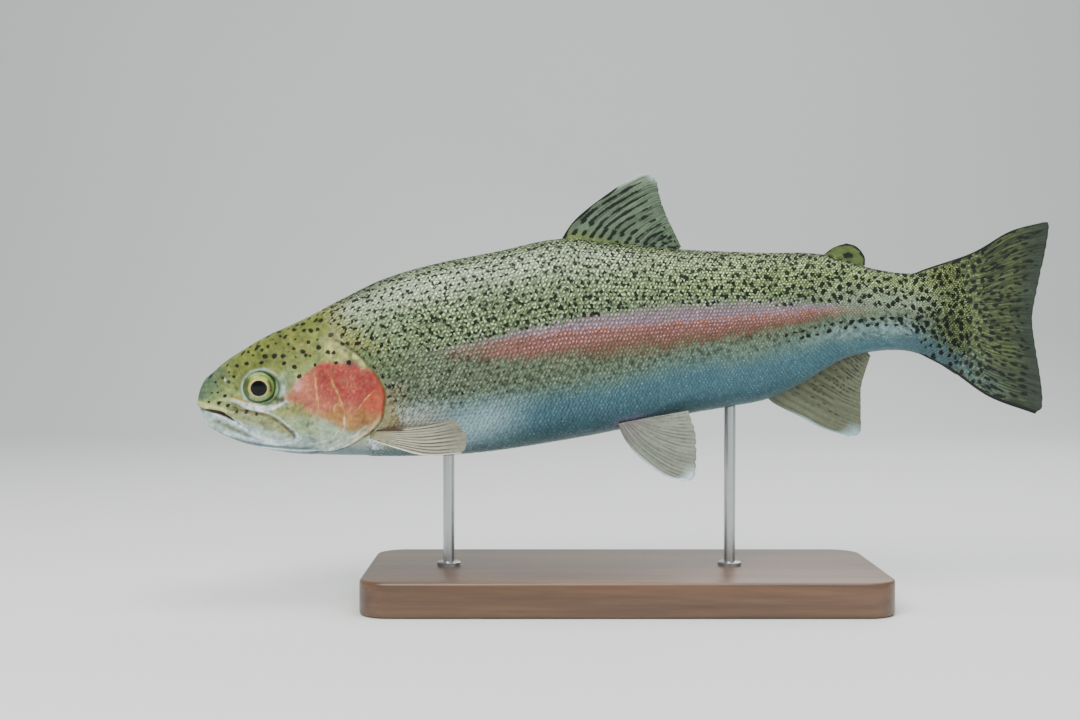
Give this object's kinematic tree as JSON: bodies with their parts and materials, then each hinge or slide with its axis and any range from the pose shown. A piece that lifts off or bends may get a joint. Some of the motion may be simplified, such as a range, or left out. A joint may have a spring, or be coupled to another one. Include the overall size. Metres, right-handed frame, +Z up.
{
  "type": "rainbow trout",
  "caption": "Life-size model of a swimming rainbow trout, carried above a flat wooden base by short rods for display.",
  "frame": {"origin": "centre of the display base's underside, on the floor", "axes": "+X from the snout towards the tail along the body, +Z up out of the base, the fish's left side towards -Y"},
  "size_m": [0.4499, 0.112, 0.2254],
  "materials": {
    "skin_back": "wet olive skin, satin to glossy",
    "skin_flank": "wet scaled skin with a silvery sheen",
    "skin_jaw": "wet silvery skin",
    "skin_gill": "wet rosy skin over bone",
    "fin_dark": "thin wet membrane on rays",
    "fin_pale": "thin wet membrane on rays",
    "eye": "clear polished eye over a gold-green iris",
    "base_wood": "dark oiled hardwood, satin",
    "rod_steel": "satin steel"
  },
  "bodies": {
    "root": {"head": "skin_back", "lower_jaw": "skin_jaw", "maxilla_left": "skin_jaw", "maxilla_right": "skin_jaw", "gill_cover_left": "skin_gill", "gill_cover_right": "skin_gill", "eye_left": "eye", "eye_right": "eye", "trunk": "skin_flank", "tail": "skin_flank", "fin_dorsal": "fin_dark", "fin_adipose": "fin_dark", "fin_anal": "fin_pale", "fin_caudal": "fin_dark", "fin_pelvic_left": "fin_pale", "fin_pelvic_right": "fin_pale", "fin_pectoral_left": "fin_pale", "fin_pectoral_right": "fin_pale", "stand_base": "base_wood", "stand_rod_front": "rod_steel", "stand_rod_rear": "rod_steel"}
  },
  "joints": []
}
